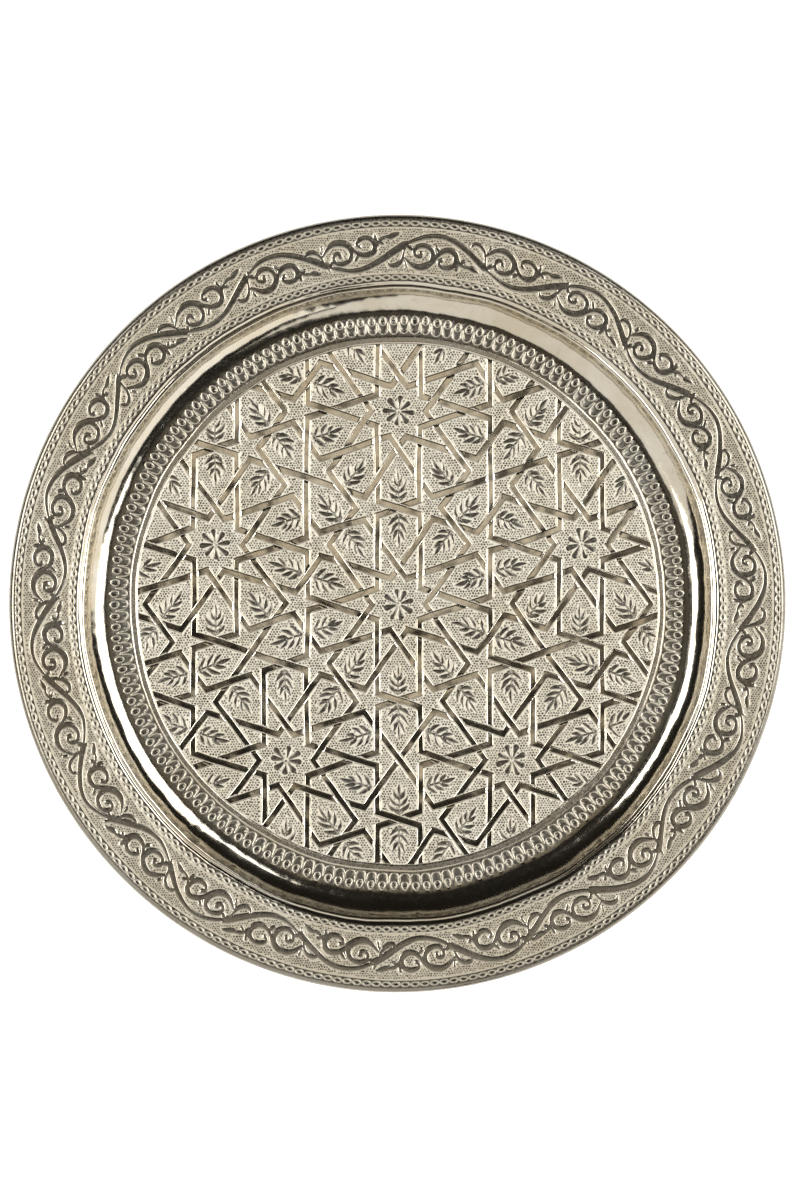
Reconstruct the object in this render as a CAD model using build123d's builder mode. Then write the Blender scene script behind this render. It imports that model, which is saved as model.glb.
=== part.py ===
"""Round chased dish: one spun and pressed sheet with its edge rolled over a wire.

The part lies flat, +Z up, with its origin in the middle of the flat underside.
Two pieces: the sheet (plate_body) and the wire inside its rolled edge (rim_wire).
"""
import os

from build123d import *

# ---------------------------------------------------------------- driving sizes, millimetres
PLATE_RADIUS = 180.0      # to the outside of the rolled edge
SHEET = 1.0               # thickness of the brass sheet

# flat floor and its raised border ring
BORDER_IN = 121.6         # inner edge of the smooth ring round the floor pattern
BORDER_OUT = 125.0        # outer edge of the same ring
BORDER_RISE = 0.35        # height of the ring's crown over the floor
WALL_FOOT = 133.4         # where the floor starts to curve up

# coved wall, radii at the upper face
COVE_RADIUS = 13.6
WALL_ANGLE = 60.0         # slope of the wall at its top, degrees
WALL_STRAIGHT = 1.0       # straight length above the cove

# small bead, groove and bevel between wall and rim, radii at the upper face
BEAD_RADIUS = 1.35
BEAD_FALL = 18.0          # how far the bead turns down on its outer side, degrees
GROOVE_RADIUS = 0.9
BEVEL_ANGLE = 40.0        # slope of the bevel, degrees
BEVEL_LENGTH = 0.6
SHOULDER_RADIUS = 1.4     # turn from the bevel on to the rim

# rim and rolled edge
RIM_SLOPE = 6.7           # the rim rises outwards by this angle, degrees
WIRE_RADIUS = 1.3         # round wire inside the rolled edge
WIRE_GAP = 0.05           # clearance between wire and sheet
ROLL_WRAP = 285.0         # how far the edge is rolled round the wire, degrees

# ---------------------------------------------------------------- sizes worked out
ROLL_RADIUS = WIRE_RADIUS + WIRE_GAP + SHEET
ROLL_CENTRE_X = PLATE_RADIUS - ROLL_RADIUS

os.makedirs("parts", exist_ok=True)


def wall_and_rim(start, depth):
    """Draw the section from the wall's foot to the end of the roll, and return its lines.

    depth is 0 on the upper face and SHEET on the underside, which runs parallel to it: arcs
    that are hollow seen from above grow by it, and rounded ones shrink.
    """
    cove = JernArc(start, (1, 0), COVE_RADIUS + depth, WALL_ANGLE)
    wall = Line(cove @ 1, cove @ 1 + (cove % 1) * WALL_STRAIGHT)
    bead = JernArc(wall @ 1, wall % 1, BEAD_RADIUS - depth, -(WALL_ANGLE + BEAD_FALL))
    groove = JernArc(bead @ 1, bead % 1, GROOVE_RADIUS + depth, BEAD_FALL + BEVEL_ANGLE)
    bevel = Line(groove @ 1, groove @ 1 + (groove % 1) * BEVEL_LENGTH)
    shoulder = JernArc(bevel @ 1, bevel % 1, SHOULDER_RADIUS - depth, RIM_SLOPE - BEVEL_ANGLE)
    slope = shoulder % 1
    rim_end_x = ROLL_CENTRE_X - (ROLL_RADIUS - depth) * slope.Y
    rim_length = (rim_end_x - (shoulder @ 1).X) / slope.X
    rim = Line(shoulder @ 1, shoulder @ 1 + slope * rim_length)
    roll = JernArc(rim @ 1, rim % 1, ROLL_RADIUS - depth, -ROLL_WRAP)
    return rim, roll


# ---------------------------------------------------------------- plate body
with BuildPart() as plate_body:
    with BuildSketch(Plane.XZ) as sheet_section:
        with BuildLine() as sheet_outline:
            # upper face, from the axis outwards
            floor = Line((0, SHEET), (BORDER_IN, SHEET))
            border_crown = ((BORDER_IN + BORDER_OUT) / 2, SHEET + BORDER_RISE)
            border = ThreePointArc(floor @ 1, border_crown, (BORDER_OUT, SHEET))
            margin = Line(border @ 1, (WALL_FOOT, SHEET))
            rim, roll = wall_and_rim(margin @ 1, 0)
            # underside, with the flat face that the plate rests on
            rest_face = Line((0, 0), (WALL_FOOT, 0))
            rim_under, roll_inside = wall_and_rim(rest_face @ 1, SHEET)
            # the sheet's cut edge inside the roll, and the axis
            cut_edge = Line(roll @ 1, roll_inside @ 1)
            axis_line = Line((0, 0), (0, SHEET))
        make_face()
    revolve(axis=Axis.Z)
plate_body.part.label = "plate_body"
export_step(plate_body.part, "parts/plate_body.step")

# The roll's centre lies square to the rim, one roll radius below its end.
rim_slope_line = rim % 1
ROLL_CENTRE_Z = (rim @ 1).Y - ROLL_RADIUS * rim_slope_line.X


# ---------------------------------------------------------------- rim wire
with BuildPart() as rim_wire:
    with BuildSketch(Plane.XZ) as wire_section:
        with Locations((ROLL_CENTRE_X, ROLL_CENTRE_Z)):
            Circle(WIRE_RADIUS)
    revolve(axis=Axis.Z)
rim_wire.part.label = "rim_wire"
export_step(rim_wire.part, "parts/rim_wire.step")

print(f"overall height {ROLL_CENTRE_Z + ROLL_RADIUS:.2f} mm, "
      f"roll centre at radius {ROLL_CENTRE_X:.2f}, height {ROLL_CENTRE_Z:.2f} mm")
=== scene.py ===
"""Round chased dish: strapwork stars on the floor, a coved wall, and a scrolling vine on the rim.

The dish is worked out in millimetres, and its points turn into metres when a mesh is made. Stage,
lights and camera are in metres. The upper face is cut into rings. Each ring is triangulated in plan
along the lines of its ornament, and then every point gets its height from the dish's section plus
the relief. Stipple marks are real dimples, one point low and its neighbours high.
"""
import math

import bpy
import numpy as np
from mathutils import Matrix, Vector
from mathutils.geometry import delaunay_2d_cdt


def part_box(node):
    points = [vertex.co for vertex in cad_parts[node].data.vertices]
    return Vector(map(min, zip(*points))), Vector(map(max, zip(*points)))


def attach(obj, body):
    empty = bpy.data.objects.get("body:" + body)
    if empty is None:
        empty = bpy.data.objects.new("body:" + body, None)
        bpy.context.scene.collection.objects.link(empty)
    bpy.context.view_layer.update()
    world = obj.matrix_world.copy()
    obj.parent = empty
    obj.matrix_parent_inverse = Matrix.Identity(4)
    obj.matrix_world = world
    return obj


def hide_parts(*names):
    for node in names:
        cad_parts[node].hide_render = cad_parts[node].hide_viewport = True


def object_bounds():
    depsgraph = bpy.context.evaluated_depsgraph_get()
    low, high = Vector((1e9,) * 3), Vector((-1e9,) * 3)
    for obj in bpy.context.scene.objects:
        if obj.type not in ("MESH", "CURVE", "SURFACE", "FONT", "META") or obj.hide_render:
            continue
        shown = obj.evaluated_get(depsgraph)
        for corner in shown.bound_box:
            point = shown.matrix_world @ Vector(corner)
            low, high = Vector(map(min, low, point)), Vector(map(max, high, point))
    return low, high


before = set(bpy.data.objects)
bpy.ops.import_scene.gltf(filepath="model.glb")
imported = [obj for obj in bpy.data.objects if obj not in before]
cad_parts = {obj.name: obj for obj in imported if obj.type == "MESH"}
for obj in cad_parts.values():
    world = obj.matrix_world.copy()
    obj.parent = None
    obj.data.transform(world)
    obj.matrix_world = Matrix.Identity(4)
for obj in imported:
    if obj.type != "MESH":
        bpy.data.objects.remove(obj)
cad_low, cad_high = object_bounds()
rng = np.random.default_rng(20)

MM = 0.001
PLATE_RADIUS = round(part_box("plate_body")[1][0] / MM, 1)
SEGMENTS = 720            # round every ring

# ---- the sheet's section, as in the CAD
SHEET = 1.0
BORDER_IN, BORDER_OUT, BORDER_RISE = 121.6, 125.0, 0.35
WALL_FOOT, COVE_RADIUS, WALL_ANGLE, WALL_STRAIGHT = 133.4, 13.6, 60.0, 1.0
BEAD_RADIUS, BEAD_FALL, GROOVE_RADIUS = 1.35, 18.0, 0.9
BEVEL_ANGLE, BEVEL_LENGTH, SHOULDER_RADIUS = 40.0, 0.6, 1.4
RIM_SLOPE = 6.7
ROLL_RADIUS, ROLL_WRAP = 2.35, 285.0
ROLL_CENTRE = PLATE_RADIUS - ROLL_RADIUS

# ---- where the rings of the upper face meet
FLOOR_EDGE = 121.3        # floor pattern inside, smooth border and scallops outside
SCALLOP_EDGE = 138.4      # scallops inside, plain wall outside
WALL_EDGE = 145.68        # plain wall inside, bead and bevel outside
RIM_EDGE = 149.4          # bead and bevel inside, decorated rim outside
ROLL_EDGE = 177.2         # decorated rim inside, rolled edge outside


class Pen:
    """Walks along a section and keeps the points it passes, as (radius, height)."""

    def __init__(self, radius, height):
        self.at = np.array([radius, height], float)
        self.heading = 0.0
        self.points = [self.at.copy()]

    def line(self, length, steps=1):
        step = np.array([math.cos(self.heading), math.sin(self.heading)]) * length / steps
        for _ in range(steps):
            self.at = self.at + step
            self.points.append(self.at.copy())

    def arc(self, radius, turn, steps):
        turn = math.radians(turn)
        side = math.copysign(1.0, turn)
        centre = self.at + side * radius * np.array([-math.sin(self.heading), math.cos(self.heading)])
        for _ in range(steps):
            self.heading += turn / steps
            out = np.array([math.sin(self.heading), -math.cos(self.heading)])
            self.at = centre + side * radius * out
            self.points.append(self.at.copy())


def section(depth):
    """The section from the axis to the end of the roll; depth 0 is the upper face, SHEET the underside."""
    pen = Pen(0.0, SHEET - depth)
    pen.line(WALL_FOOT, 14)
    pen.arc(COVE_RADIUS + depth, WALL_ANGLE, 30)
    pen.line(WALL_STRAIGHT, 3)
    pen.arc(BEAD_RADIUS - depth, -(WALL_ANGLE + BEAD_FALL), 12)
    pen.arc(GROOVE_RADIUS + depth, BEAD_FALL + BEVEL_ANGLE, 8)
    pen.line(BEVEL_LENGTH, 2)
    pen.arc(SHOULDER_RADIUS - depth, RIM_SLOPE - BEVEL_ANGLE, 6)
    slope = math.radians(RIM_SLOPE)
    rim_end = ROLL_CENTRE - (ROLL_RADIUS - depth) * math.sin(slope)
    pen.line((rim_end - pen.at[0]) / math.cos(slope), 12)
    before_roll = len(pen.points) - 1
    pen.arc(ROLL_RADIUS - depth, -ROLL_WRAP, 40)
    return np.array(pen.points), before_roll


UPPER, UPPER_ROLL = section(0.0)
UNDER, _ = section(SHEET)
TOP_R = UPPER[:UPPER_ROLL + 4, 0]
TOP_Z = UPPER[:UPPER_ROLL + 4, 1]
CROWN_MID = (BORDER_IN + BORDER_OUT) / 2
CROWN_HALF = (BORDER_OUT - BORDER_IN) / 2


def base_height(radius):
    """Height of the plain upper face, with the smooth border ring on the floor."""
    crown = np.clip(1 - ((radius - CROWN_MID) / CROWN_HALF) ** 2, 0, None)
    return np.interp(radius, TOP_R, TOP_Z) + BORDER_RISE * crown


# ---- unevenness of hand work
def wave_set(count, longest, shortest, amplitude):
    """Random plane waves: direction, wave number, phase and size of each."""
    heading = rng.uniform(0, 2 * math.pi, count)
    length = rng.uniform(shortest, longest, count)
    vector = np.stack([np.cos(heading), np.sin(heading)], 1) * (2 * math.pi / length)[:, None]
    return vector, rng.uniform(0, 2 * math.pi, count), amplitude / math.sqrt(count / 2)


def waves(points, wave):
    vector, phase, size = wave
    return np.sin(points @ vector.T + phase).sum(1) * size


DRIFT_X = wave_set(7, 90, 28, 0.22)
DRIFT_Y = wave_set(7, 90, 28, 0.22)
DENTS = wave_set(12, 80, 26, 0.055)
RIPPLE = wave_set(18, 24, 9, 0.030)
WOBBLE_X = wave_set(14, 15, 6, 0.045)
WOBBLE_Y = wave_set(14, 15, 6, 0.045)


def uneven(points):
    """Moves plan points by a fraction of a millimetre and returns them with their height error."""
    radius = distance_out(points)
    fade = np.clip((ROLL_EDGE - 1 - radius) / 8, 0, 1)
    drift = np.stack([waves(points, DRIFT_X) + waves(points, WOBBLE_X),
                      waves(points, DRIFT_Y) + waves(points, WOBBLE_Y)], 1) * fade[:, None]
    worked = np.interp(radius, [FLOOR_EDGE, SCALLOP_EDGE], [1.0, 0.25])
    lift = (waves(points, DENTS) + waves(points, RIPPLE) * worked) * fade
    return points + drift, lift


# ---- triangulating a ring along its lines
def polar(radius, angle):
    return np.stack([radius * np.cos(angle), radius * np.sin(angle)], -1)


def circle(radius, count=SEGMENTS):
    return polar(radius, np.arange(count) * 2 * math.pi / count)


def distance_out(points):
    """Each plan point's distance from the axis."""
    return np.hypot(points[:, 0], points[:, 1])


def evenly(rows, spacing, least):
    """Rows of (x, y, ...) sampled at even steps along their line, at least so many of them."""
    along = np.concatenate([[0], np.cumsum(np.hypot(*np.diff(rows[:, :2], axis=0).T))])
    want = np.linspace(0, along[-1], max(least, int(round(along[-1] / spacing)) + 1))
    return np.stack([np.interp(want, along, column) for column in rows.T], 1)


def resample(points, spacing, closed=False):
    points = np.asarray(points, float)
    if closed:
        return evenly(np.vstack([points, points[:1]]), spacing, 2)[:-1]
    return evenly(points, spacing, 2)


def by_cell(points, cell):
    """Groups points into square cells: yields the points' numbers and the cell's centre."""
    keys = np.floor(points / cell).astype(int)
    code = keys[:, 0] * 4096 + keys[:, 1]
    order = np.argsort(code, kind="stable")
    starts = np.flatnonzero(np.diff(code[order])) + 1
    for group in np.split(order, starts):
        yield group, (keys[group[0]] + 0.5) * cell


class Ring:
    """One ring of the upper face in plan: ornament lines, stipple marks, then triangles."""

    def __init__(self, inner, outer):
        self.inner, self.outer = inner, outer
        self.points, self.edges, self.count = [], [], 0
        self.loose, self.loose_pit = [], []
        self.line(circle(outer), closed=True)
        if inner:
            self.line(circle(inner), closed=True)

    def line(self, points, closed=False, shown=None):
        """Adds a line. An edge is left out where both its ends are marked as not shown."""
        n, start = len(points), self.count
        self.points.append(np.asarray(points, float))
        self.count += n
        shown = np.ones(n, bool) if shown is None else shown
        ends = [(i, (i + 1) % n) for i in range(n if closed else n - 1)]
        self.edges += [(start + i, start + j) for i, j in ends if shown[i] or shown[j]]

    def circles(self, radii):
        for radius in radii:
            self.line(circle(radius), closed=True)

    def stipple(self, spacing, clear, room, margin):
        """Scatters punch marks on a jittered lattice, wherever clear() gives more than room."""
        reach = self.outer
        row_gap = spacing * 0.866
        rows = int(2 * reach / row_gap) + 2
        cols = int(2 * reach / spacing) + 2
        j, i = np.mgrid[0:rows, 0:cols]
        grid = np.stack([(i + 0.5 * (j % 2)) * spacing - reach, j * row_gap - reach], -1)
        grid = grid + rng.normal(0, 0.14 * spacing, grid.shape)
        even = (np.arange(rows) % 2 == 0)[:-1, None]
        here, right = grid[:-1, :-1], grid[:-1, 1:]
        up, up_right = grid[1:, :-1], grid[1:, 1:]
        third = np.where(even[..., None], up, up_right)
        low_corner = (here + right + third) / 3
        other = np.where(even[..., None], right, here)
        high_corner = (up + up_right + other) / 3
        for points, pit, space in ((grid, 1.0, room), (low_corner, 0.0, margin),
                                   (high_corner, 0.0, margin)):
            points = points.reshape(-1, 2)
            radius = distance_out(points)
            points = points[(radius < self.outer - space) & (radius > self.inner + space)]
            points = points[clear(points) > space]
            self.loose.append(points)
            self.loose_pit.append(pit * rng.uniform(0.55, 1.0, len(points)))

    def triangulate(self):
        """Plan points, triangles, and how much each point is the bottom of a punch mark."""
        flat = np.vstack(self.points)
        radius = distance_out(flat)
        inside = (radius < self.outer + 1e-4) & (radius > self.inner - 1e-4)
        edges = np.array(self.edges)
        edges = edges[inside[edges[:, 0]] | inside[edges[:, 1]]]
        used = np.zeros(len(flat), bool)
        used[edges.ravel()] = True
        order = np.cumsum(used) - 1
        loose = np.vstack(self.loose) if self.loose else np.zeros((0, 2))
        pit_in = np.concatenate([np.zeros(used.sum())] + self.loose_pit)
        everything = np.vstack([flat[used], loose])
        out = delaunay_2d_cdt([Vector(p) for p in everything.tolist()],
                              [(int(a), int(b)) for a, b in order[edges]], [], 0, 1e-4, True)
        verts = np.array([(v.x, v.y) for v in out[0]])
        tris = np.array(out[2], int)
        pit = np.array([max((pit_in[i] for i in came), default=0.0) for came in out[3]])
        centre = verts[tris].mean(1)
        middle = distance_out(centre)
        chord = math.cos(math.pi / SEGMENTS)
        tris = tris[(middle < self.outer * chord) & (middle > self.inner * chord)]
        a, b, c = verts[tris[:, 0]], verts[tris[:, 1]], verts[tris[:, 2]]
        ab, ac = b - a, c - a
        area = ab[:, 0] * ac[:, 1] - ab[:, 1] * ac[:, 0]
        tris[area < 0] = tris[area < 0][:, ::-1]
        return verts, tris[np.abs(area) > 1e-6], pit


# ---- strokes: lines of varying width
def smooth_curve(rows, spacing):
    """Catmull-Rom curve through rows of (x, y, ...), sampled evenly."""
    rows = np.asarray(rows, float)
    if len(rows) == 2:
        bent = np.linspace(rows[0], rows[1], 12)
    else:
        ends = np.vstack([2 * rows[0] - rows[1], rows, 2 * rows[-1] - rows[-2]])
        t = np.linspace(0, 1, 9)[:, None]
        bent = []
        for p0, p1, p2, p3 in zip(ends, ends[1:], ends[2:], ends[3:]):
            bent.append(0.5 * (2 * p1 + (p2 - p0) * t + (2 * p0 - 5 * p1 + 4 * p2 - p3) * t ** 2
                               + (3 * p1 - p0 - 3 * p2 + p3) * t ** 3)[:-1])
        bent = np.vstack(bent + [rows[-1:]])
    return evenly(bent, spacing, 3)


class Strokes:
    """Tapered strokes, and the distance from any point to the edge of the nearest one."""

    def __init__(self, spacing):
        self.spacing = spacing
        self.lines = []

    def add(self, points, widths):
        points = np.asarray(points, float)
        widths = np.broadcast_to(np.asarray(widths, float), (len(points),))
        fine = smooth_curve(np.column_stack([points, widths]), self.spacing)
        self.lines.append((fine[:, :2], fine[:, 2]))

    def add_loop(self, points, width):
        """A closed line of one width, already evenly sampled."""
        points = np.vstack([points, points[:1]])
        self.lines.append((points, np.full(len(points), float(width))))

    def settle(self):
        """Turns the strokes into segments, once all of them are in."""
        a = np.vstack([p[:-1] for p, w in self.lines])
        b = np.vstack([p[1:] for p, w in self.lines])
        self.start, self.run = a, b - a
        self.width = np.concatenate([w[:-1] for p, w in self.lines])
        self.taper = np.concatenate([w[1:] for p, w in self.lines]) - self.width
        self.length2 = np.maximum((self.run ** 2).sum(1), 1e-9)
        self.middle = (a + b) / 2
        self.reach = np.sqrt(self.length2) / 2 + self.width + np.abs(self.taper)

    def field(self, points, near=1.8, cell=5.0):
        """Distance beyond the nearest stroke's edge, and how far across that stroke the point is."""
        beyond = np.full(len(points), 99.0)
        across = np.full(len(points), 9.0)
        for group, centre in by_cell(points, cell):
            gap = np.hypot(*(self.middle - centre).T) - self.reach
            pick = np.flatnonzero(gap < cell * 0.75 + near)
            if len(pick) == 0:
                continue
            rel = points[group][:, None, :] - self.start[pick][None]
            t = np.clip((rel * self.run[pick]).sum(2) / self.length2[pick], 0, 1)
            rel = rel - t[..., None] * self.run[pick]
            dist = np.hypot(rel[..., 0], rel[..., 1])
            width = self.width[pick] + t * self.taper[pick]
            over = dist - width
            best = over.argmin(1)
            rows = np.arange(len(group))
            beyond[group] = over[rows, best]
            across[group] = dist[rows, best] / width[rows, best]
        return beyond, across

    def outlines(self, points, width, offset):
        """The one or two closed lines at an offset from a stroke's edge."""
        closed = np.allclose(points[0], points[-1])
        if closed:
            points, width = points[:-1], width[:-1]
            tangent = np.roll(points, -1, 0) - np.roll(points, 1, 0)
        else:
            tangent = np.gradient(points, axis=0)
        tangent = tangent / np.hypot(*tangent.T)[:, None]
        normal = np.stack([-tangent[:, 1], tangent[:, 0]], 1)
        out = (width + offset)[:, None]
        left, right = points + normal * out, points - normal * out
        if closed:
            return [left, right]
        steps = max(3, int(math.pi * out.mean() / self.spacing))
        turn = np.linspace(0, math.pi, steps + 1)[1:-1, None]
        far = points[-1] + out[-1] * (np.cos(turn) * normal[-1] + np.sin(turn) * tangent[-1])
        back = points[0] - out[0] * (np.cos(turn) * normal[0] + np.sin(turn) * tangent[0])
        return [np.vstack([left, far, right[::-1], back])]

    def draw(self, ring, offsets, spine=True):
        """Adds the strokes' outlines and spines to a ring, except where another stroke covers them."""
        for points, width in self.lines:
            if spine:
                beyond, across = self.field(points)
                ring.line(points, shown=np.abs(across) < 0.15)
            for offset in offsets:
                for loop in self.outlines(points, width, offset):
                    loop = resample(loop, self.spacing, closed=True)
                    beyond, across = self.field(loop)
                    ring.line(loop, closed=True, shown=beyond > offset - 0.04)


def grooved(beyond, top, groove, depth):
    """Height across a flat-topped line with a V groove along each side."""
    inner = top - (top + depth) * np.clip(beyond / groove, 0, 1)
    outer = -depth + (beyond - groove) * depth / groove
    return np.where(beyond < groove, inner, outer)


# ---- straight straps of the star pattern
ROSETTE = 44.88                              # rosette centre to the tip of a petal
STRAP_HALF, STRAP_GROOVE, STRAP_DEPTH, STRAP_TOP = 1.20, 0.27, 0.18, 0.05
PETAL_HALF = ROSETTE / 4.4534                # half the width of a petal
LEAN = math.tan(math.radians(18))
LEAF_GROOVE = 0.24


def heading(degrees):
    return np.array([math.cos(math.radians(degrees)), math.sin(math.radians(degrees))])


NEAR_ROSETTES = [2 * ROSETTE * heading(90 + 72 * k) for k in range(5)]
FAR_ROSETTES = [4 * ROSETTE * math.cos(math.radians(36)) * heading(54 + 72 * k) for k in range(5)]
ROSETTES = [np.zeros(2)] + NEAR_ROSETTES + FAR_ROSETTES


def petals():
    """Centre, axis and sideways direction of every petal that reaches the floor."""
    for centre in ROSETTES:
        for j in range(10):
            axis = heading(90 + 36 * j)
            if np.hypot(*(centre + axis * ROSETTE)) < FLOOR_EDGE + 40:
                yield centre, axis, np.array([axis[1], -axis[0]])


def strap_segments():
    """Ends of every straight strap, each once, with the long ones of the bow-ties joined up."""
    sides, caps = [], []
    for centre, axis, across in petals():
        for s in (1, -1):
            low = centre + s * PETAL_HALF * across + 0.7265 * PETAL_HALF * axis
            shoulder = centre + s * PETAL_HALF * across + (ROSETTE - PETAL_HALF * LEAN) * axis
            past = centre - s * PETAL_HALF * across + (ROSETTE + PETAL_HALF * LEAN) * axis
            sides.append((low, shoulder))
            caps.append((shoulder, past))
    bow_tie_gap = 0.7639 * ROSETTE - 2 * PETAL_HALF / math.cos(math.radians(18))
    return merge(sides, 0.0) + merge(caps, bow_tie_gap)


def merge(pairs, bridge):
    """Joins collinear segments that overlap, or that leave just the gap of a bow-tie between them."""
    lines = {}
    for p, q in pairs:
        way = (q - p) / np.hypot(*(q - p))
        if way[0] < -1e-6 or (abs(way[0]) < 1e-6 and way[1] < 0):
            way = -way
        angle = round(math.degrees(math.atan2(way[1], way[0])))
        offset = way[0] * p[1] - way[1] * p[0]
        key = next((k for k in lines if k[0] == angle and abs(k[1] - offset) < 0.3), (angle, offset))
        lines.setdefault(key, []).append(tuple(sorted((way @ p, way @ q))))
    out = []
    for (angle, offset), spans in lines.items():
        way = heading(angle)
        foot = offset * np.array([-way[1], way[0]])
        spans.sort()
        low, high = spans[0]
        for a, b in spans[1:] + [(1e9, 1e9)]:
            if a < high + 0.3 or abs(a - high - bridge) < 0.4:
                high = max(high, b)
            else:
                out.append((foot + low * way, foot + high * way))
                low, high = a, b
    return out


class Straps:
    """The woven straps: mitred where two end together, over and under where they cross."""

    def __init__(self, pairs):
        self.start = np.array([p for p, q in pairs])
        self.end = np.array([q for p, q in pairs])
        run = self.end - self.start
        self.length = np.hypot(*run.T)
        self.way = run / self.length[:, None]
        self.side = np.stack([-self.way[:, 1], self.way[:, 0]], 1)
        self.cut_start = -self.way.copy()
        self.cut_end = self.way.copy()
        self.mitre()
        self.weave()

    def mitre(self):
        tips = [(k, 0, p) for k, p in enumerate(self.start)] + [(k, 1, p) for k, p in enumerate(self.end)]
        for k, which, p in tips:
            for m, other, q in tips:
                if m != k and np.hypot(*(p - q)) < 0.4:
                    out_here = self.way[k] if which else -self.way[k]
                    out_there = self.way[m] if other else -self.way[m]
                    normal = out_here - out_there
                    normal = normal / np.hypot(*normal)
                    (self.cut_end if which else self.cut_start)[k] = normal

    def crossings_of(self, p, q):
        """How many straps the line from p to q crosses."""
        run = q - p
        d = self.end - self.start
        rel = self.start - p
        denominator = run[0] * d[:, 1] - run[1] * d[:, 0]
        denominator[np.abs(denominator) < 1e-9] = 1e-9
        t = (rel[:, 0] * d[:, 1] - rel[:, 1] * d[:, 0]) / denominator
        u = (rel[:, 0] * run[1] - rel[:, 1] * run[0]) / denominator
        return int(((t > 0) & (t < 1) & (u > 0) & (u < 1)).sum())

    def weave(self):
        """Short stretches of strap that lie over another one, one at each crossing."""
        inside_star = np.array([0.37, 0.21])
        self.over_strap, self.over_at, self.over_half = [], [], []
        for k in range(len(self.start)):
            for m in range(k + 1, len(self.start)):
                turn = self.way[k][0] * self.way[m][1] - self.way[k][1] * self.way[m][0]
                if abs(turn) < 0.05:
                    continue
                rel = self.start[m] - self.start[k]
                t = (rel[0] * self.way[m][1] - rel[1] * self.way[m][0]) / turn
                u = (rel[0] * self.way[k][1] - rel[1] * self.way[k][0]) / turn
                if not (0.8 < t < self.length[k] - 0.8 and 0.8 < u < self.length[m] - 0.8):
                    continue
                first, second = (k, m) if turn > 0 else (m, k)
                at = self.start[k] + t * self.way[k]
                corner = at + 0.05 * (self.way[first] + self.way[second])
                top = first if self.crossings_of(corner, inside_star) % 2 else second
                self.over_strap.append(top)
                self.over_at.append(at)
                slant = (1 + abs(self.way[k] @ self.way[m])) / abs(turn)
                self.over_half.append((STRAP_HALF + 2.4 * STRAP_GROOVE) * slant)
        self.over_strap = np.array(self.over_strap)
        self.over_at = np.array(self.over_at)
        self.over_half = np.array(self.over_half)

    def beyond(self, points, pick):
        """Distance beyond each picked strap's edge; 99 past its mitred ends."""
        rel = points[:, None, :] - self.start[pick][None]
        off = np.abs((rel * self.side[pick]).sum(2)) - STRAP_HALF
        past_start = (rel * self.cut_start[pick]).sum(2)
        past_end = ((points[:, None, :] - self.end[pick][None]) * self.cut_end[pick]).sum(2)
        return np.where((past_start > 0.002) | (past_end > 0.002), 99.0, off)

    def upper(self, c, points):
        """Distance beyond the edge of the strap that lies on top at crossing c; 99 away from it."""
        k = self.over_strap[c]
        on = np.abs((points - self.over_at[c]) @ self.way[k]) < self.over_half[c]
        return np.where(on, self.beyond(points, np.array([k]))[:, 0], 99.0)

    def height(self, points, ground, cell=8.0):
        """Height with the straps on, and the distance beyond the nearest strap's edge."""
        height = ground.copy()
        nearest = np.full(len(points), 99.0)
        shape = (STRAP_TOP, STRAP_GROOVE, STRAP_DEPTH)
        for group, centre in by_cell(points, cell):
            rel = centre - self.start
            along = np.clip((rel * self.way).sum(1), 0, self.length)
            gap = np.hypot(*(rel - along[:, None] * self.way).T)
            pick = np.flatnonzero(gap < cell * 0.75 + 4.5)
            if len(pick) == 0:
                continue
            here = points[group]
            off = self.beyond(here, pick)
            nearest[group] = off.min(1)
            h = np.minimum(height[group], np.where(off > STRAP_GROOVE, grooved(off, *shape), 9).min(1))
            best = off.min(1)
            h = np.where(best < STRAP_GROOVE, grooved(best, *shape), h)
            for c in np.flatnonzero(np.hypot(*(self.over_at - centre).T) < cell + 9):
                top = self.upper(c, here)
                h = np.where(top < STRAP_GROOVE, grooved(top, *shape), np.minimum(h, grooved(top, *shape)))
            height[group] = h
        return height, nearest

    def draw(self, ring, spacing):
        """Adds the straps' lines to a ring. Those of a lower strap stop where an upper one begins."""
        levels = [0.0]
        for offset in (-0.2, 0.0, STRAP_GROOVE, 2 * STRAP_GROOVE):
            levels += [STRAP_HALF + offset, -STRAP_HALF - offset]
        for k in range(len(self.start)):
            for level in levels:
                ends = []
                for tip, cut in ((self.start[k], self.cut_start[k]), (self.end[k], self.cut_end[k])):
                    slide = -level * (self.side[k] @ cut) / (self.way[k] @ cut)
                    ends.append(tip + level * self.side[k] + slide * self.way[k])
                if np.hypot(*(ends[0] - ends[1])) < 0.3:
                    continue
                line = resample(np.array(ends), spacing)
                shown = ~self.under_another(line, k)
                ring.line(line, shown=shown)
            for tip, cut in ((self.start[k], self.cut_start[k]), (self.end[k], self.cut_end[k])):
                if abs(self.way[k] @ cut) < 0.999:
                    mitre = np.array([-cut[1], cut[0]]) / abs(self.way[k] @ cut)
                    ring.line(tip + np.outer(np.array([-1, -0.5, 0, 0.5, 1]) * STRAP_HALF, mitre))

    def under_another(self, points, strap):
        """Whether each point of a strap's line is covered by a strap that lies over it."""
        covered = np.zeros(len(points), bool)
        for c in np.flatnonzero(self.over_strap != strap):
            close = np.hypot(*(points - self.over_at[c]).T) < 9
            if close.any():
                covered |= close & (self.upper(c, points) < STRAP_GROOVE - 0.02)
        return covered


# ---- making meshes
def in_scene(name, data):
    """A new object for a mesh, light or camera, linked to the scene."""
    made = bpy.data.objects.new(name, data)
    bpy.context.scene.collection.objects.link(made)
    return made


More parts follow.
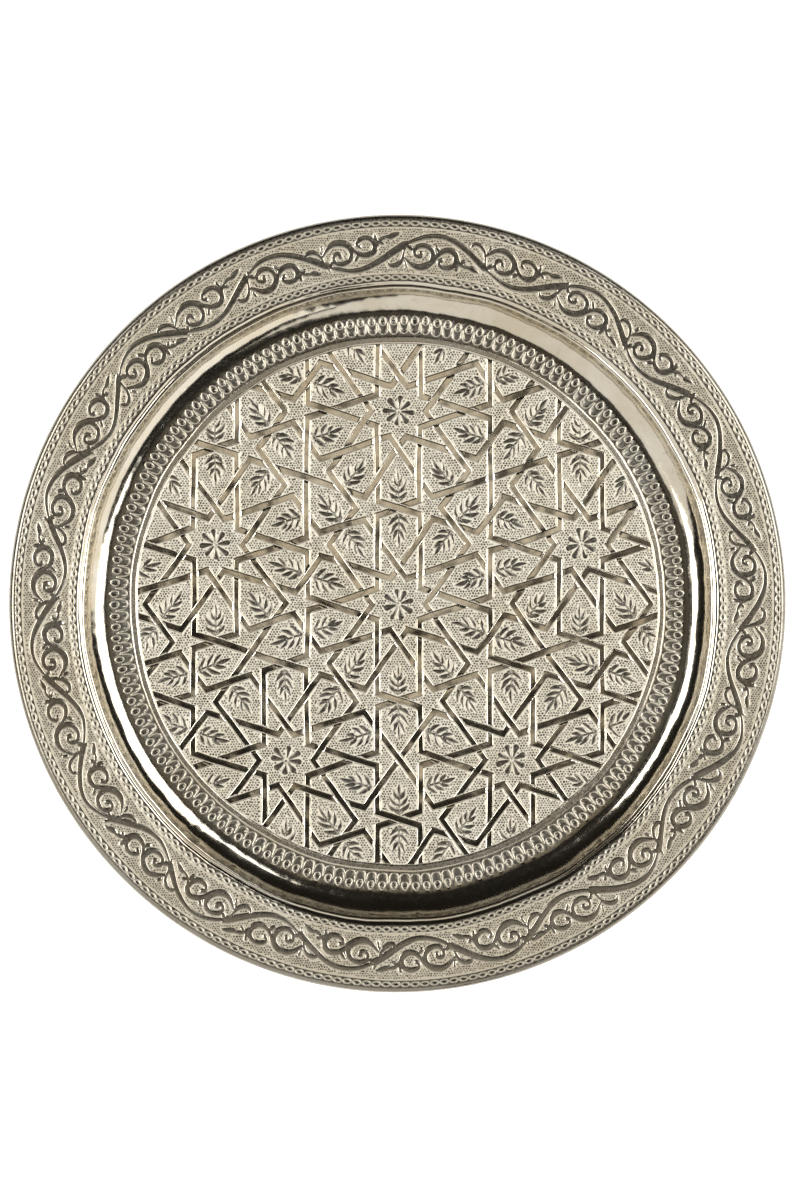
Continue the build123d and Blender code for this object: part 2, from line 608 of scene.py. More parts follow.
def mesh_piece(name, points, tris, material, **marks):
    """One piece on the root body, standing for the plate: points in millimetres, marks per point."""
    used = np.unique(tris)
    order = np.zeros(len(points), int)
    order[used] = np.arange(len(used))
    mesh = bpy.data.meshes.new(name)
    mesh.from_pydata((points[used] * MM).tolist(), [], order[tris].tolist())
    for mark, values in marks.items():
        layer = mesh.attributes.new(mark, "FLOAT", "POINT")
        layer.data.foreach_set("value", np.asarray(values, float)[used])
    mesh.polygons.foreach_set("use_smooth", np.ones(len(tris), bool))
    mesh.materials.append(material)
    piece = in_scene(name, mesh)
    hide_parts("plate_body")
    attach(piece, "root")


def raise_up(plan, relief):
    """Plan points and relief to points in space, with the unevenness of the whole dish."""
    radius = distance_out(plan)
    moved, lift = uneven(plan)
    return np.column_stack([moved, base_height(radius) + relief + lift])


def fade_at_edges(ring, plan, relief, over=0.35):
    """Relief that dies away just before a ring's edges, where the next ring begins."""
    radius = distance_out(plan)
    room = np.minimum(ring.outer - radius, radius - ring.inner if ring.inner else 99.0)
    return relief * np.clip(room / over, 0, 1)


def lathe(profile, count=SEGMENTS, lift_share=1.0):
    """Spins a profile of (radius, height) round the axis, uneven like the rest of the dish."""
    plan = (profile[:, 0][:, None, None] * circle(1.0, count)[None]).reshape(-1, 2)
    moved, lift = uneven(plan)
    height = np.repeat(profile[:, 1], count) + lift * lift_share
    rows, columns = np.mgrid[0:len(profile) - 1, 0:count]
    a = rows * count + columns
    b = rows * count + (columns + 1) % count
    c, d = b + count, a + count
    # radius grows along the profile on the upper face, so a-d-c-b turns upwards
    tris = np.stack([np.stack([a, d, c], -1), np.stack([a, c, b], -1)], 2).reshape(-1, 3)
    if profile[-1, 0] == 0:
        tris = np.minimum(tris, (len(profile) - 1) * count)      # one point on the axis
    points = np.column_stack([moved, height])
    p = points[tris]
    area = np.linalg.norm(np.cross(p[:, 1] - p[:, 0], p[:, 2] - p[:, 0]), axis=1)
    return points, tris[area > 1e-9]


def stretch_of_section(low, high):
    """The upper face's section between two radii, with both ends on it."""
    heights = np.interp([low, high], TOP_R, TOP_Z)
    inner = (TOP_R > low + 0.02) & (TOP_R < high - 0.02)
    return np.column_stack([np.r_[low, TOP_R[inner], high], np.r_[heights[0], TOP_Z[inner], heights[1]]])


# ---- materials
class Nodes:
    """Short ways to build a material's nodes."""

    def __init__(self, name):
        self.material = bpy.data.materials.new(name)
        self.material.use_nodes = True
        self.tree = self.material.node_tree
        self.shader = self.tree.nodes["Principled BSDF"]
        self.place = self.new("ShaderNodeTexCoord").outputs["Object"]

    def new(self, kind, **settings):
        node = self.tree.nodes.new(kind)
        for key, value in settings.items():
            setattr(node, key, value)
        return node

    def link(self, source, target):
        self.tree.links.new(source, target)

    def noise(self, scale, detail=3.0, rough=0.55, distort=0.0):
        node = self.new("ShaderNodeTexNoise")
        node.inputs["Scale"].default_value = scale
        node.inputs["Detail"].default_value = detail
        node.inputs["Roughness"].default_value = rough
        node.inputs["Distortion"].default_value = distort
        self.link(self.place, node.inputs["Vector"])
        return node.outputs["Fac"]

    def ramp(self, source, stops):
        """Colour or grey ramp: stops of (position, value or colour)."""
        node = self.new("ShaderNodeValToRGB")
        elements = node.color_ramp.elements
        while len(elements) < len(stops):
            elements.new(0.5)
        for element, (position, value) in zip(elements, stops):
            element.position = position
            element.color = (*value, 1) if isinstance(value, tuple) else (value, value, value, 1)
        self.link(source, node.inputs["Fac"])
        return node.outputs["Color"]

    def mix(self, factor, first, second):
        node = self.new("ShaderNodeMix", data_type="RGBA")
        self.link(factor, node.inputs[0])
        for socket, value in ((node.inputs[6], first), (node.inputs[7], second)):
            if isinstance(value, tuple):
                socket.default_value = (*value, 1)
            else:
                self.link(value, socket)
        return node.outputs[2]

    def fix(self, socket, value):
        """One value all over, on the shader's own socket."""
        self.shader.inputs[socket].default_value = value

    def drive(self, socket, source):
        self.link(source, self.shader.inputs[socket])

    def mark(self, name):
        return self.new("ShaderNodeAttribute", attribute_name=name).outputs["Fac"]

    def bump(self, height, strength, distance, after=None):
        node = self.new("ShaderNodeBump")
        node.inputs["Strength"].default_value = strength
        node.inputs["Distance"].default_value = distance
        self.link(height, node.inputs["Height"])
        if after is not None:
            self.link(after, node.inputs["Normal"])
        return node.outputs["Normal"]


SILVER = (0.80, 0.755, 0.655)
WARM = (0.68, 0.605, 0.475)
TARNISH = (0.30, 0.25, 0.175)


def polished(name, rough=0.13, tarnish=0.5, wobble=1.0, painted_shade=1.0):
    """Bright plated metal with warm blotches, fine scratches and a hand-hammered surface. The last factor
    darkens all its colours: painted shade.
    """
    n = Nodes(name)
    blotch = n.ramp(n.noise(26, 5, 0.6, 0.4), [(0.36, 0.0), (0.66, 1.0)])
    colour = n.mix(blotch, tuple(c * painted_shade for c in SILVER), tuple(c * painted_shade for c in WARM))
    spots = n.ramp(n.noise(190, 6, 0.7), [(0.58, 0.0), (0.74, tarnish)])
    colour = n.mix(spots, colour, tuple(c * painted_shade for c in TARNISH))
    n.drive("Base Color", colour)
    n.fix("Metallic", 1.0)
    fine = n.noise(700, 4, 0.7)
    n.drive("Roughness", n.ramp(fine, [(0.3, rough * 0.8), (0.75, rough * 1.7)]))
    ripple = n.bump(n.noise(75, 2, 0.5), 0.35 * wobble, 0.0006)
    n.drive("Normal", n.bump(n.noise(1500, 3, 0.6), 0.12, 0.0001, ripple))
    return n.material


def punched(name, bright=(0.94, 0.89, 0.765), rough=0.45, metal=0.55):
    """Matted ground: bright bitten metal, dark at the bottom of each punch mark and along groove bottoms:
    patina there, and painted shade.
    """
    n = Nodes(name)
    blotch = n.ramp(n.noise(34, 5, 0.6, 0.3), [(0.35, 0.0), (0.70, 1.0)])
    colour = n.mix(blotch, bright, tuple(c * s for c, s in zip(bright, (0.88, 0.85, 0.79))))
    # Painted shade with patina: the pit mark darkens the bottom of each punch mark and the bottoms of the
    # grooves
    dirt_and_shade = n.ramp(n.mark("pit"), [(0.14, 0.0), (0.38, 1.0)])
    patchy_dirt_and_shade = n.mix(n.ramp(n.noise(300, 2, 0.5), [(0.3, 0.65), (0.6, 1.0)]), (0, 0, 0), dirt_and_shade)
    colour = n.mix(patchy_dirt_and_shade, colour, (0.06, 0.045, 0.025))
    n.drive("Base Color", colour)
    n.fix("Metallic", metal)
    n.fix("Roughness", rough)
    n.drive("Normal", n.bump(n.noise(1400, 3, 0.6), 0.30, 0.00015))
    return n.material


def steel(name):
    """Drawn steel wire with a brushed surface and a little rust."""
    n = Nodes(name)
    rust = n.ramp(n.noise(120, 5, 0.6), [(0.45, 0.0), (0.75, 1.0)])
    colour = n.mix(rust, (0.50, 0.49, 0.47), (0.30, 0.19, 0.11))
    n.drive("Base Color", colour)
    n.fix("Metallic", 1.0)
    n.drive("Roughness", n.ramp(n.noise(900, 3, 0.6), [(0.3, 0.3), (0.7, 0.5)]))
    n.drive("Normal", n.bump(n.noise(1200, 2, 0.5), 0.2, 0.0001))
    return n.material


STRAP_METAL = polished("strap_metal", 0.08, 0.45)
BORDER_METAL = polished("border_metal", 0.20, 0.3)
WALL_METAL = polished("wall_metal", 0.10, 0.30, 1.3)
# Stem, leaf, chain-edge, matted, roll and hollow metals below are darker copies of the one plate metal:
# painted shade.
STEM_METAL = polished("stem_metal", 0.18, 0.8, painted_shade=0.72)
LEAF_METAL = polished("leaf_metal", 0.20, 0.9, painted_shade=0.42)
GROUND_METAL = punched("ground_metal")
# The rim's ground is a darker copy of the floor's ground metal: painted shade
RIM_METAL = punched("rim_metal", (0.70, 0.645, 0.525))
CHAIN_METAL = polished("chain_metal", 0.24, 0.8, painted_shade=0.36)
RIDGE_METAL = punched("ridge_metal", (0.82, 0.765, 0.64), 0.32, 0.8)
MATTED_METAL = polished("matted_metal", 0.26, 0.9, painted_shade=0.34)
ROLL_METAL = polished("roll_metal", 0.22, 0.9, 1.5, 0.47)
# Near black in the scallop eyes and chain hollows: painted shade in the recesses
HOLLOW_METAL = polished("hollow_metal", 0.22, 0.8, painted_shade=0.22)
UNDER_METAL = polished("under_metal", 0.30, 0.7, 1.5)


# ---- floor: stars, leaves, flowers, stipple
def leaf(strokes, base, way, length, width):
    """A leaf punched as a fan of rounded fingers: base and direction of its tip, in plan."""
    side = np.array([way[1], -way[0]])

    def at(along, out):
        return base + way * along * length + side * out * width

    for s in (1, -1):
        for start, share, angle in ((0.10, 0.36, 58), (0.26, 0.42, 44), (0.46, 0.34, 31)):
            turn = math.radians(angle + rng.normal(0, 4))
            run = share * length * rng.uniform(0.86, 1.10)
            tip = (start + run * math.cos(turn) / length, s * run * math.sin(turn) / width)
            bend = (start + 0.50 * (tip[0] - start) - 0.03, s * 0.01 + 0.58 * tip[1])
            fat = rng.uniform(0.76, 0.98)
            strokes.add([at(start, s * 0.03), at(*bend), at(*tip)], [0.34, fat, 0.36])
        strokes.add([at(0.02, s * 0.06), at(0.07, s * 0.17)], [0.30, 0.46])
    strokes.add([at(0.0, 0), at(0.5, 0)], [0.30, 0.34])
    strokes.add([at(0.55, 0), at(0.78, rng.normal(0, 0.02)), at(1.0, rng.normal(0, 0.03))],
                [0.45, rng.uniform(0.78, 0.95), 0.20])


def flower(strokes, centre, size, turn):
    for k in range(8):
        way = heading(turn + 45 * k + rng.normal(0, 3))
        strokes.add([centre + way * size * 0.20, centre + way * size * rng.uniform(0.70, 0.84)],
                    [size * 0.05, size * rng.uniform(0.14, 0.18)])


def bow_tie_feet():
    """Where the leaf of each bow-tie cell stands, and which way it points: to the bow-tie's middle."""
    for first in range(len(ROSETTES)):
        for second in range(first + 1, len(ROSETTES)):
            gap = ROSETTES[second] - ROSETTES[first]
            if abs(np.hypot(*gap) - 4 * ROSETTE * math.sin(math.radians(36))) < 1:
                way = np.array([gap[1], -gap[0]]) / np.hypot(*gap)
                for s in (1, -1):
                    middle = (ROSETTES[first] + ROSETTES[second]) / 2
                    yield middle + s * way * 0.618 * ROSETTE, -s * way


def floor_strokes():
    strokes = Strokes(0.62)
    for centre, axis, across in petals():
        tip = centre + axis * ROSETTE
        if np.hypot(*tip) < FLOOR_EDGE + 12:
            leaf(strokes, tip - axis * 2.8, -axis, rng.uniform(14.2, 16.2), 9.6)
    for tip in bow_tie_feet():
        if np.hypot(*tip[0]) < FLOOR_EDGE + 8:
            leaf(strokes, tip[0] + tip[1] * 2.4, tip[1], rng.uniform(14.6, 16.4), 9.8)
    for centre in ROSETTES:
        if np.hypot(*centre) < FLOOR_EDGE:
            flower(strokes, centre, 7.8, rng.uniform(0, 45))
    strokes.lines = [(p, w) for p, w in strokes.lines if np.hypot(*p.mean(0)) < FLOOR_EDGE - 1.2]
    strokes.settle()
    return strokes


def make_floor():
    straps = Straps(strap_segments())
    strokes = floor_strokes()
    ring = Ring(0.0, FLOOR_EDGE)

    def off_straps(points):
        return straps.height(points, np.zeros(len(points)))[1]

    straps.draw(ring, 0.95)
    strokes.draw(ring, (0.0, LEAF_GROOVE))
    ring.stipple(1.3, lambda p: np.minimum(off_straps(p) - 2 * STRAP_GROOVE,
                                           strokes.field(p)[0] - LEAF_GROOVE), 0.30, 0.07)
    plan, tris, pit = ring.triangulate()
    beyond, across = strokes.field(plan)
    hump = 0.30 * np.sqrt(np.clip(1 - across ** 2, 0, 1)) - 0.14
    ground = np.where(beyond < 0, hump, -0.14 + 0.14 * np.clip(beyond / LEAF_GROOVE, 0, 1))
    ground = ground - pit * rng.uniform(0.12, 0.20, len(plan))
    # Painted shade: dark along the leaves' edges, at the bottom of their grooves
    dirt_and_shade = np.maximum(pit, 0.75 * (beyond < 0.05))
    # Painted shade: dark along the bottom of the grooves beside the straps
    in_groove = np.abs(off_straps(plan) - STRAP_GROOVE) < 0.05
    dirt_and_shade = np.maximum(dirt_and_shade, in_groove * rng.uniform(0.3, 0.9, len(plan)))
    relief, _ = straps.height(plan, ground)
    points = raise_up(plan, fade_at_edges(ring, plan, relief))
    centre = plan[tris].mean(1)
    on_strap = off_straps(centre) < STRAP_GROOVE
    on_leaf = ~on_strap & (strokes.field(centre)[0] < 0.0)
    mesh_piece("floor_strapwork", points, tris[on_strap], STRAP_METAL)
    mesh_piece("floor_leaves", points, tris[on_leaf], LEAF_METAL)
    mesh_piece("floor_ground", points, tris[~on_strap & ~on_leaf], GROUND_METAL, pit=dirt_and_shade)


# ---- border and scallops round the floor
SCALLOPS = 162
SCALLOP_MID = 128.7       # mean radius of the scallops
SCALLOP_TOP = 133.9       # smooth wall outside it
RIDGE_HALF = 0.14         # half width of the scallops' raised lines
RIDGE_HEIGHT = 0.13
RIDGE_FALL = 0.28         # how far each side of a raised line slopes down


def make_scallops():
    ring = Ring(FLOOR_EDGE, SCALLOP_EDGE)
    ring.circles([BORDER_IN + step for step in (0, 0.2, 0.42, 0.9)] + [CROWN_MID])
    ring.circles([BORDER_OUT + step for step in (-0.9, -0.42, -0.2, 0.15, 0.55)])
    ring.circles([134.6, 135.8, 137.0])
    outline, tongue, eye = Strokes(0.55), Strokes(0.6), Strokes(0.55)
    pitch = 2 * math.pi / SCALLOPS
    for k in range(SCALLOPS):
        middle = k * pitch + rng.normal(0, 0.03) * pitch
        lift = rng.normal(0, 0.16)
        size = rng.uniform(0.93, 1.07)

        def at(out, up):
            return polar(SCALLOP_MID + up + lift, middle + out * size / SCALLOP_MID)

        half = 0.5 * pitch * SCALLOP_MID
        turn = np.linspace(-math.pi, 0, 9)
        bowl = [at(half * 0.86 * math.cos(a), -0.35 + 2.4 * math.sin(a)) for a in turn]
        outline.add([at(-half * 0.98, 2.6)] + bowl + [at(half * 0.98, 2.2)], RIDGE_HALF)
        around = np.linspace(0, 2 * math.pi, 13)[:-1]
        loop = [at(1.42 * math.cos(a), 3.1 + (1.75 + 0.35 * max(0, math.sin(a)) ** 4) * math.sin(a))
                for a in around]
        outline.add_loop(resample(loop, 0.55, closed=True), RIDGE_HALF)
        eye.add([at(0, 2.3), at(0, 4.1)], [0.95, 0.85])
        tongue.add([at(-0.45, -0.95), at(0.45, -0.95)], [1.20, 1.20])
    for strokes in (outline, tongue, eye):
        strokes.settle()
    outline.draw(ring, (0.0, RIDGE_FALL))
    tongue.draw(ring, (0.0,), spine=False)
    eye.draw(ring, (0.0,), spine=False)
    plan, tris, _ = ring.triangulate()
    radius = distance_out(plan)
    beyond, _ = outline.field(plan)
    slope = RIDGE_HEIGHT - 0.19 * np.clip(beyond / RIDGE_FALL, 0, 1)
    relief = np.where(beyond < 0, RIDGE_HEIGHT, slope)
    in_eye, _ = eye.field(plan)
    relief = relief - 0.30 * np.clip(-in_eye / 0.5, 0, 1) * (beyond > 0.2)
    in_tongue, _ = tongue.field(plan)
    relief = relief - 0.14 * np.clip(-in_tongue / 0.6, 0, 1) * (beyond > 0.2)
    plain = (radius < BORDER_OUT + 0.5) | (radius > 134.3)
    relief = np.where(plain & (beyond > RIDGE_FALL), 0.0, relief)
    # the border ring: a flat top between two bevels, in place of the plain arc
    across = np.clip(np.abs(radius - CROWN_MID) / CROWN_HALF, 0, 1)
    flat_top = BORDER_RISE * (0.72 * np.clip((1 - across) / 0.24, 0, 1) + 0.10 * (1 - across ** 2))
    relief = relief + np.where(across < 1, flat_top - BORDER_RISE * (1 - across ** 2), 0.0)
    groove = 0.16 * np.exp(-((radius - BORDER_OUT - 0.25) / 0.3) ** 2)
    groove = groove + 0.16 * np.exp(-((radius - BORDER_IN + 0.05) / 0.25) ** 2)
    relief = relief - groove
    points = raise_up(plan, fade_at_edges(ring, plan, relief))
    centre = plan[tris].mean(1)
    middle = distance_out(centre)
    ridge = outline.field(centre)[0] < 0.10
    dark = eye.field(centre)[0] < 0
    border = (middle < BORDER_OUT + 0.2) & ~ridge
    wall = (middle > SCALLOP_TOP) & ~ridge
    smooth = border | wall
    matted = ~smooth & ~ridge & ~dark
    mesh_piece("floor_border", points, tris[border], BORDER_METAL)
    mesh_piece("wall_foot", points, tris[wall], WALL_METAL)
    mesh_piece("scallop_ridges", points, tris[ridge & ~border], RIDGE_METAL)
    mesh_piece("scallop_hollows", points, tris[dark & ~ridge & ~smooth], HOLLOW_METAL)
    mesh_piece("scallop_ground", points, tris[matted], MATTED_METAL)


# ---- rim: chains and scrolling vine
BAND_MID = 163.0
BAYS = 28
VINE_RISE = 7.8
CHAIN_OUT, CHAIN_IN = 176.15, 151.1
LINK_HEIGHT = 0.12
LINE_OUT, LINE_IN = 174.0, 152.75       # engraved lines between the chains and the vine
LINE_HALF = 0.3
STEM_GROOVE, STEM_POINTS = 0.28, 15

# One bay of the vine, under a crest: along the rim, then out from the band's middle, then half width.
HOOK = ((-12.6, 5.1, .45), (-14.2, 1.3, .50), (-15.0, -1.6, .60), (-16.1, -3.9, .75),
        (-18.5, -5.8, .90), (-21.2, -5.8, .70), (-22.4, -4.2, .40))
SPIRAL = ((-14.8, -1.9, .37), (-12.6, -3.9, .60), (-10.4, -5.7, .88), (-7.3, -6.6, 1.20),
          (-3.8, -5.8, 1.30), (-1.4, -3.6, 1.20), (-0.8, -1.0, 1.06), (-1.6, 1.6, .97),
          (-3.8, 3.2, .92), (-6.6, 3.5, .88), (-9.0, 2.2, .83), (-9.6, -0.1, .78),
          (-8.4, -1.6, .74), (-6.6, -1.5, .78), (-6.3, -0.1, .92))
CURL = ((-3.1, -5.7, .74), (-0.7, -3.9, .74), (0.6, -1.6, .78), (2.8, 0.7, .92), (5.4, 1.6, 1.06),
        (7.9, 1.3, 1.15), (9.8, -0.4, 1.15), (10.1, -2.8, 1.10), (8.9, -5.1, 1.00),
        (6.3, -6.3, .92), (3.5, -5.8, .83), (2.1, -3.9, .70), (3.3, -2.8, .78))
TAIL = ((9.6, 0.0, .74), (11.6, -3.2, .74), (14.0, -5.0, .64), (16.6, -5.6, .46))
TAIL_LEAF = ((15.3, -5.2, .28), (17.4, -5.4, 1.00), (19.6, -6.3, .83), (21.6, -6.9, .15))
BUDS = (((-12.2, 3.0, .80), (-11.1, 1.9, .87)), ((0.4, 2.9, .65), (1.6, 1.5, .69)),
        ((-14.0, -4.7, .50), (-13.5, -6.5, .55)), ((12.2, -3.9, .55), (13.7, -2.8, .70)),
        ((11.3, -4.3, .55), (10.7, -6.5, .74)))


def crest_angle(k):
    """Angle of half-wave k, in radians. The bays are a little uneven round the rim."""
    even = 360 / BAYS * k + 5.6
    return math.radians(even + 2.3 * math.cos(math.radians(even - 130)))


def vine_strokes():
    strokes = Strokes(0.62)
    for k in range(BAYS):
        side = 1 if k % 2 == 0 else -1
        middle = crest_angle(k)
        gap = (crest_angle(k + 1) - crest_angle(k - 1)) / 2 * BAND_MID
        along = np.linspace(-0.364, 0.636, STEM_POINTS) * gap
        wave = VINE_RISE * np.cos(math.pi * along / gap)
        plan = polar(BAND_MID + side * wave, middle - along / BAND_MID)
        strokes.add(plan, np.linspace(0.55, 1.50, STEM_POINTS))
        size, turn = rng.uniform(0.95, 1.05), math.radians(rng.normal(0, 2.2))
        heavy = rng.uniform(1.00, 1.18)
        for shape in (HOOK, SPIRAL, CURL, TAIL, TAIL_LEAF) + BUDS:
            x, y, w = np.array(shape).T
            along = (x * math.cos(turn) - y * math.sin(turn)) * size
            out = (x * math.sin(turn) + y * math.cos(turn)) * size
            strokes.add(polar(BAND_MID + side * out, middle - along / BAND_MID), w * heavy)
    strokes.settle()
    return strokes


def chain_strokes(radius, ovals, half_height, half_width):
    """A chain of ovals, made of two waves that cross."""
    strokes = Strokes(0.50)
    angle = np.linspace(0, 2 * math.pi, ovals * 10 + 1)[:-1]
    drift = 0.25 * np.sin(2 * angle + 1.0) + 0.15 * np.sin(5 * angle)
    posts = np.linspace(0, 2 * math.pi, ovals)
    rough = np.interp(angle, posts, rng.normal(0, 0.05, ovals), period=2 * math.pi)
    for side in (1, -1):
        wave = side * half_height * np.sin(ovals / 2 * angle)
        loop = polar(radius + drift * 0.5 + rough + wave, angle)
        strokes.add_loop(resample(loop, 0.50, closed=True), half_width)
    strokes.settle()
    return strokes


def make_rim():
    ring = Ring(RIM_EDGE, ROLL_EDGE)
    vine = vine_strokes()
    vine.draw(ring, (-0.15, 0.0, STEM_GROOVE, 2 * STEM_GROOVE))
    chains = [chain_strokes(CHAIN_OUT, 244, 1.02, 0.22), chain_strokes(CHAIN_IN, 228, 1.00, 0.22)]
    for chain in chains:
        chain.draw(ring, (0.0, RIDGE_FALL), spine=False)
    for line in (LINE_OUT, LINE_IN):
        ring.circles([line - LINE_HALF, line, line + LINE_HALF])

    def clear(points):
        radius = distance_out(points)
        room = np.minimum(LINE_OUT - LINE_HALF - radius, radius - LINE_IN - LINE_HALF)
        return np.minimum(room, vine.field(points)[0] - 2 * STEM_GROOVE)

    def off_chains(points):
        return np.minimum(chains[0].field(points)[0], chains[1].field(points)[0])

    def off_spine(radius):
        """How far a radius is from the middle of the nearer chain."""
        return np.minimum(np.abs(radius - CHAIN_OUT), np.abs(radius - CHAIN_IN))

    ring.stipple(1.2, clear, 0.28, 0.06)
    plan, tris, pit = ring.triangulate()
    radius = distance_out(plan)
    beyond, across = vine.field(plan)
    crown = 0.05 + 0.06 * np.clip(1 - across ** 2, 0, 1)
    relief = np.where(beyond < 0, crown, grooved(beyond, 0.05, STEM_GROOVE, 0.15))
    relief = np.where(beyond < 2 * STEM_GROOVE, relief, -pit * rng.uniform(0.12, 0.20, len(plan)))
    # Painted shade: dark along the bottom of the grooves beside the vine's stems
    in_groove = np.abs(beyond - STEM_GROOVE) < 0.05
    dirt_and_shade = np.maximum(pit, in_groove * rng.uniform(0.2, 0.75, len(plan)))
    for line in (LINE_OUT, LINE_IN):
        relief = relief - 0.14 * np.clip(1 - np.abs(radius - line) / LINE_HALF, 0, 1)
    near_chain = off_chains(plan)
    in_band = (radius < LINE_OUT - 0.4) & (radius > LINE_IN + 0.4)
    links = np.where(near_chain < 0, LINK_HEIGHT,
                     LINK_HEIGHT - 0.20 * np.clip(near_chain / RIDGE_FALL, 0, 1))
    hollow = off_spine(radius) < 0.9
    links = np.where((near_chain > RIDGE_FALL) & ~hollow, 0.0, links)
    relief = np.where(in_band, relief, relief + links)
    points = raise_up(plan, fade_at_edges(ring, plan, relief))
    centre = plan[tris].mean(1)
    middle = distance_out(centre)
    chain_zone = (middle > LINE_OUT + LINE_HALF) | (middle < LINE_IN - LINE_HALF)
    stem = (vine.field(centre)[0] < STEM_GROOVE) & ~chain_zone
    outer = middle > BAND_MID
    link = chain_zone & (off_chains(centre) < 0.12)
    inside = chain_zone & ~link & (off_spine(middle) < 0.75)
    beside = chain_zone & ~link & ~inside
    mesh_piece("rim_scrollwork", points, tris[stem], STEM_METAL)
    mesh_piece("rim_ground", points, tris[~stem & ~chain_zone], RIM_METAL, pit=dirt_and_shade)
    for place, side in (("outer", outer), ("inner", ~outer)):
        mesh_piece(place + "_chain_links", points, tris[link & side], RIDGE_METAL)
        mesh_piece(place + "_chain_hollows", points, tris[inside & side], HOLLOW_METAL)
        mesh_piece(place + "_chain_edges", points, tris[beside & side], CHAIN_METAL)


def make_turned_parts():
    mesh_piece("wall", *lathe(stretch_of_section(SCALLOP_EDGE, WALL_EDGE)), WALL_METAL)
    mesh_piece("rim_bead", *lathe(stretch_of_section(WALL_EDGE, RIM_EDGE)), WALL_METAL)
    start = np.column_stack([[ROLL_EDGE], np.interp([ROLL_EDGE], TOP_R, TOP_Z)])
    roll = UPPER[UPPER_ROLL:]
    roll = roll[(roll[:, 0] > ROLL_EDGE + 0.02) | (np.arange(len(roll)) > 4)]
    mesh_piece("rolled_edge", *lathe(np.vstack([start, roll, UNDER[-1:]]), lift_share=0.0), ROLL_METAL)
    # the flat underside needs only every second ring, and the axis
    under = UNDER[::-1]
    keep = (np.arange(len(under)) % 2 == 0) | (under[:, 0] > 130) | (under[:, 0] < 1)
    mesh_piece("underside", *lathe(under[keep], count=360, lift_share=0.0), UNDER_METAL)


# ---- stage, light and camera
STAGE_HALF = 12.0
STAGE_GAP = 0.0004        # under the dish
LIGHT_DISTANCE = 1.5
DAYLIGHT, WARM_LIGHT = (1.0, 0.99, 0.97), (1.0, 0.975, 0.93)
CAMERA_WAY = Vector((-0.066, 0.022, 1.0))
CAMERA_DISTANCE, CAMERA_LENS = 1.6, 103.8


def make_stage():
    mesh = bpy.data.meshes.new("studio_floor")
    corners = ((-1, -1), (1, -1), (1, 1), (-1, 1))
    mesh.from_pydata([(x * STAGE_HALF, y * STAGE_HALF, -STAGE_GAP) for x, y in corners], [], [(0, 1, 2, 3)])
    n = Nodes("studio_floor")
    n.drive("Base Color", n.mix(n.noise(3, 2), (0.93, 0.93, 0.93), (0.90, 0.90, 0.90)))
    n.fix("Roughness", 0.9)
    n.fix("Emission Color", (1, 1, 1, 1))
    n.fix("Emission Strength", 0.5)
    mesh.materials.append(n.material)
    floor = in_scene("studio_floor", mesh)


def softbox(name, azimuth, tilt, width, height, power, colour):
    """A soft light aimed at the dish, placed by its direction: tilt is measured from straight up."""
    a, t = math.radians(azimuth), math.radians(tilt)
    way = Vector((math.sin(t) * math.cos(a), math.sin(t) * math.sin(a), math.cos(t)))
    data = bpy.data.lights.new(name, "AREA")
    data.shape, data.size, data.size_y = "RECTANGLE", width, height
    data.energy, data.color = power, colour
    lamp = in_scene(name, data)
    lamp.location = way * LIGHT_DISTANCE
    lamp.rotation_euler = way.to_track_quat("Z", "Y").to_euler()


def make_lights():
    softbox("light_right", 15, 41, 1.05, 0.97, 12.8, DAYLIGHT)
    softbox("light_left", 170, 37, 1.04, 0.64, 11.8, DAYLIGHT)
    softbox("light_front", 240, 52, 2.40, 2.10, 13.0, WARM_LIGHT)
    softbox("light_low", 325, 75, 2.00, 1.09, 7.8, WARM_LIGHT)


# Brown patches of the ceiling: east, north, half width and half height as slopes from straight up, glow
CEILING_PATCHES = ((0.064, 0.024, 0.056, 0.074, 0.66), (-0.02, 0.12, 0.10, 0.10, 0.20),
                   (0.00, -0.22, 0.16, 0.09, 0.05), (-0.22, 0.0, 0.12, 0.20, 0.07),
                   (0.24, 0.0, 0.10, 0.20, 0.12))


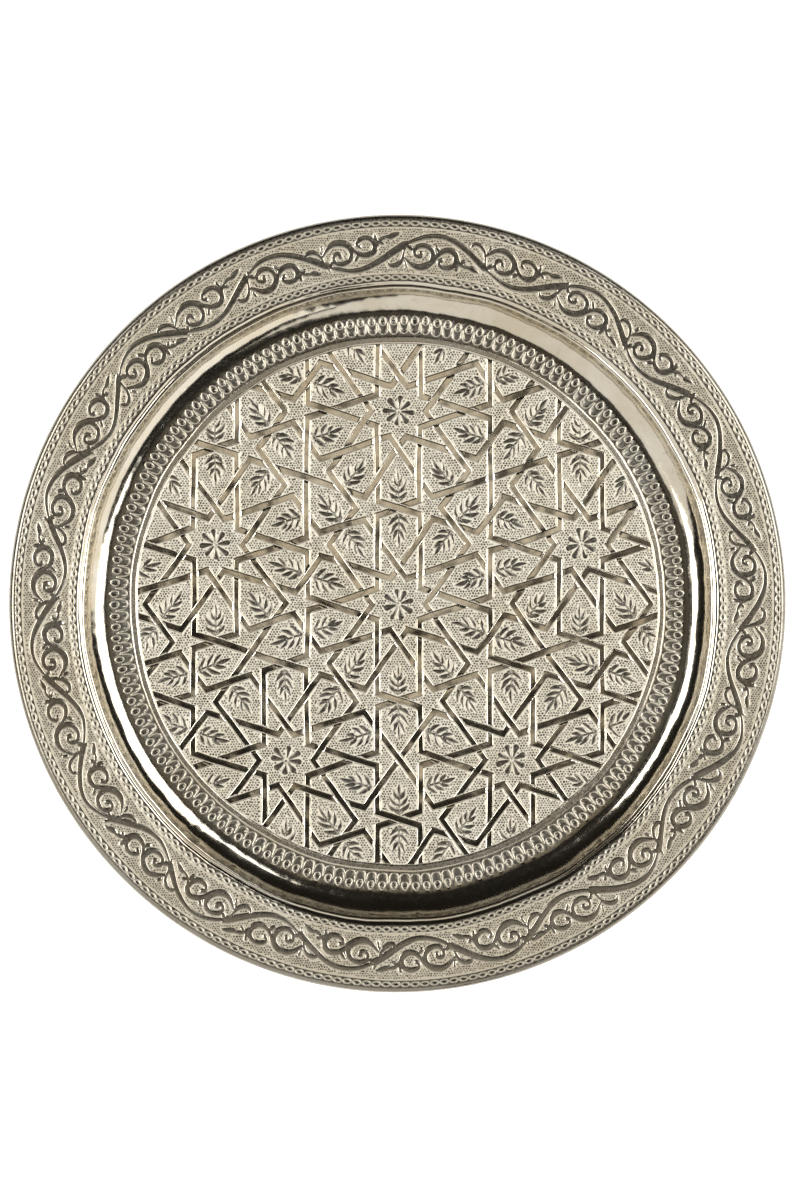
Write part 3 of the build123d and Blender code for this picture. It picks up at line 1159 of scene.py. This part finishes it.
def make_room():
    """The dim room: brown patches overhead, which the flat metal mirrors, and near black round them."""
    world = bpy.data.worlds.new("room")
    world.use_nodes = True
    tree = world.node_tree

    def node(kind, sources, **settings):
        made = tree.nodes.new(kind)
        for key, value in settings.items():
            setattr(made, key, value)
        for socket, source in zip(made.inputs, sources):
            if isinstance(source, (int, float, tuple)):
                socket.default_value = source
            elif source is not None:
                tree.links.new(source, socket)
        return made

    def maths(operation, *sources):
        return node("ShaderNodeMath", sources, operation=operation).outputs[0]

    sky = tree.nodes.new("ShaderNodeTexCoord").outputs["Generated"]
    part = node("ShaderNodeSeparateXYZ", [sky]).outputs
    up = maths("MAXIMUM", part[2], 0.05)
    east = maths("DIVIDE", part[0], up)
    north = maths("DIVIDE", part[1], up)
    cloud = node("ShaderNodeTexNoise", [sky]).outputs["Fac"]
    cloud.node.inputs["Scale"].default_value = 16.0
    cloud.node.inputs["Detail"].default_value = 2.0
    ragged = maths("MULTIPLY", maths("SUBTRACT", cloud, 0.5), 1.3)
    glow = 0.012
    for patch_east, patch_north, wide, high, strength in CEILING_PATCHES:
        across = maths("DIVIDE", maths("SUBTRACT", east, patch_east), wide)
        along = maths("DIVIDE", maths("SUBTRACT", north, patch_north), high)
        squares = maths("MULTIPLY", across, across), maths("MULTIPLY", along, along)
        out = maths("SQRT", maths("ADD", *squares))
        fall = node("ShaderNodeMapRange", [maths("ADD", out, ragged), 0.65, 1.25, strength, 0.0],
                    interpolation_type="SMOOTHSTEP")
        glow = maths("ADD", glow, fall.outputs[0])
    brown = node("ShaderNodeVectorMath", [(1.0, 0.90, 0.74)], operation="SCALE")
    tree.links.new(glow, brown.inputs["Scale"])
    tree.links.new(brown.outputs["Vector"], tree.nodes["Background"].inputs["Color"])
    bpy.context.scene.world = world


def make_camera():
    data = bpy.data.cameras.new("camera")
    data.lens, data.sensor_width, data.sensor_fit = CAMERA_LENS, 36.0, "AUTO"
    camera = in_scene("camera", data)
    way = CAMERA_WAY.normalized()
    aim = Vector((-0.0006, 0.0021, cad_high[2] * 0.9))
    right = Vector((0, 1, 0)).cross(way).normalized()
    turn = Matrix((right, way.cross(right), way)).transposed()
    camera.matrix_world = Matrix.Translation(aim + way * CAMERA_DISTANCE) @ turn.to_4x4()
    bpy.context.scene.camera = camera


make_floor()
make_scallops()
make_rim()
make_turned_parts()
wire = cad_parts["rim_wire"]
wire.data.materials.clear()
wire.data.materials.append(steel("wire_steel"))
make_stage()
make_lights()
make_room()
make_camera()
bpy.context.scene.view_settings.view_transform = "Standard"
